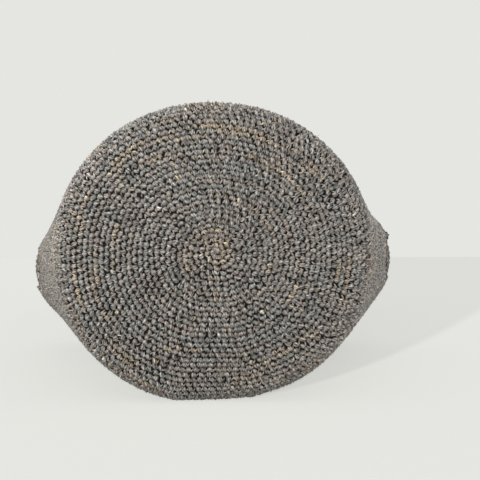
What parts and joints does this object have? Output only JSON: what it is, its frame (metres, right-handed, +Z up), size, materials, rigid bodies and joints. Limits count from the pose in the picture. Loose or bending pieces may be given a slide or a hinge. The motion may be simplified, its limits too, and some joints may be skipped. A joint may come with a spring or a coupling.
{
  "type": "raffia shoulder bag",
  "caption": "Crocheted raffia shoulder bag with a round base, a wide open mouth, a cotton lining and a swinging strap.",
  "frame": {"origin": "on the surface that the bag lies on, under the middle of the wall's length, at the centre of the flat side of the wall", "axes": "the bag lies on its front wall, as pictured: +Y runs from the round base to the mouth, X along the mouth's width, +Z up from the surface; turned +90 degrees about X it stands on its base with the strap up"},
  "size_m": [0.4008, 0.5471, 0.29],
  "materials": {
    "raffia": "matt crocheted raffia with a slight fibre sheen",
    "edging": "matt corded raffia edging",
    "lining": "matt plain-weave cotton",
    "thread": "waxed sewing thread",
    "metal": "brushed antique brass"
  },
  "bodies": {
    "bag": {"base_disc": "raffia", "side_wall": "raffia", "rim_edging": "edging", "lining_base": "lining", "lining_wall": "lining", "inner_pocket": "lining", "snap_patch_lower": "lining", "snap_patch_upper": "lining", "snap_stud": "metal", "snap_socket": "metal", "strap_end_left": "raffia", "strap_end_right": "raffia", "strap_stitching_left": "thread", "strap_stitching_right": "thread"},
    "strap": {"shoulder_strap": "raffia"}
  },
  "joints": [
    {"name": "strap_swing", "type": "hinge", "parent": "bag", "child": "strap", "pos_m": [0, 0.131, 0.093], "axis": [1, 0, 0], "range_deg": [0, 150]}
  ]
}
